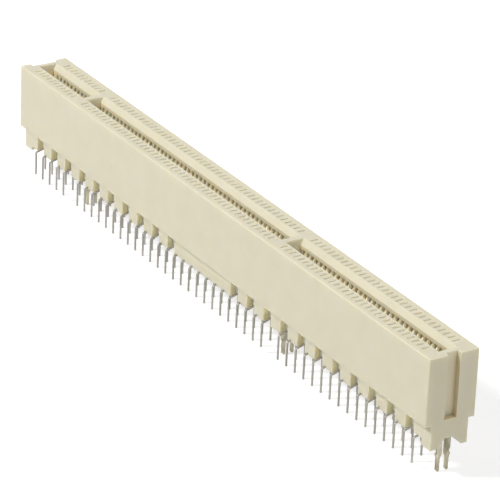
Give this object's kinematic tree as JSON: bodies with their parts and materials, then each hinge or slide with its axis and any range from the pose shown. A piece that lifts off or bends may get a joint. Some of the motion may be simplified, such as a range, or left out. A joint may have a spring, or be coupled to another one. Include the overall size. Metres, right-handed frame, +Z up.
{
  "type": "card edge connector",
  "caption": "Long ivory card edge connector for a circuit board, with a keyed slot for a plug-in card, spring contacts, staggered solder tails and forked board locks.",
  "frame": {"origin": "centre of the housing's plan, on the plane of the board's upper face", "axes": "+X along the card slot from the end with the wide recess to the end with the narrow groove, +Y across the slot to the rear side, +Z up from the board, the way a card leaves the slot"},
  "size_m": [0.128, 0.0088, 0.02],
  "materials": {
    "ivory_plastic": "fine moulded satin",
    "lock_metal": "tin plated",
    "contact_metal": "tin plated tails, gold at the noses"
  },
  "bodies": {
    "root": {"housing": "ivory_plastic", "first_key_lock": "lock_metal", "second_key_lock": "lock_metal", "end_lock": "lock_metal", "front_contacts_01": "contact_metal", "front_contacts_02": "contact_metal", "front_contacts_03": "contact_metal", "front_contacts_04": "contact_metal", "front_contacts_05": "contact_metal", "front_contacts_06": "contact_metal", "front_contacts_07": "contact_metal", "front_contacts_08": "contact_metal", "front_contacts_09": "contact_metal", "front_contacts_10": "contact_metal", "front_contacts_11": "contact_metal", "front_contacts_12": "contact_metal", "front_contacts_13": "contact_metal", "front_contacts_14": "contact_metal", "front_contacts_15": "contact_metal", "front_contacts_16": "contact_metal", "front_contacts_17": "contact_metal", "front_contacts_18": "contact_metal", "front_contacts_19": "contact_metal", "front_contacts_20": "contact_metal", "front_contacts_21": "contact_metal", "front_contacts_22": "contact_metal", "front_contacts_23": "contact_metal", "front_contacts_24": "contact_metal", "rear_contacts_01": "contact_metal", "rear_contacts_02": "contact_metal", "rear_contacts_03": "contact_metal", "rear_contacts_04": "contact_metal", "rear_contacts_05": "contact_metal", "rear_contacts_06": "contact_metal", "rear_contacts_07": "contact_metal", "rear_contacts_08": "contact_metal", "rear_contacts_09": "contact_metal", "rear_contacts_10": "contact_metal", "rear_contacts_11": "contact_metal", "rear_contacts_12": "contact_metal", "rear_contacts_13": "contact_metal", "rear_contacts_14": "contact_metal", "rear_contacts_15": "contact_metal", "rear_contacts_16": "contact_metal", "rear_contacts_17": "contact_metal", "rear_contacts_18": "contact_metal", "rear_contacts_19": "contact_metal", "rear_contacts_20": "contact_metal", "rear_contacts_21": "contact_metal", "rear_contacts_22": "contact_metal", "rear_contacts_23": "contact_metal", "rear_contacts_24": "contact_metal"}
  },
  "joints": []
}
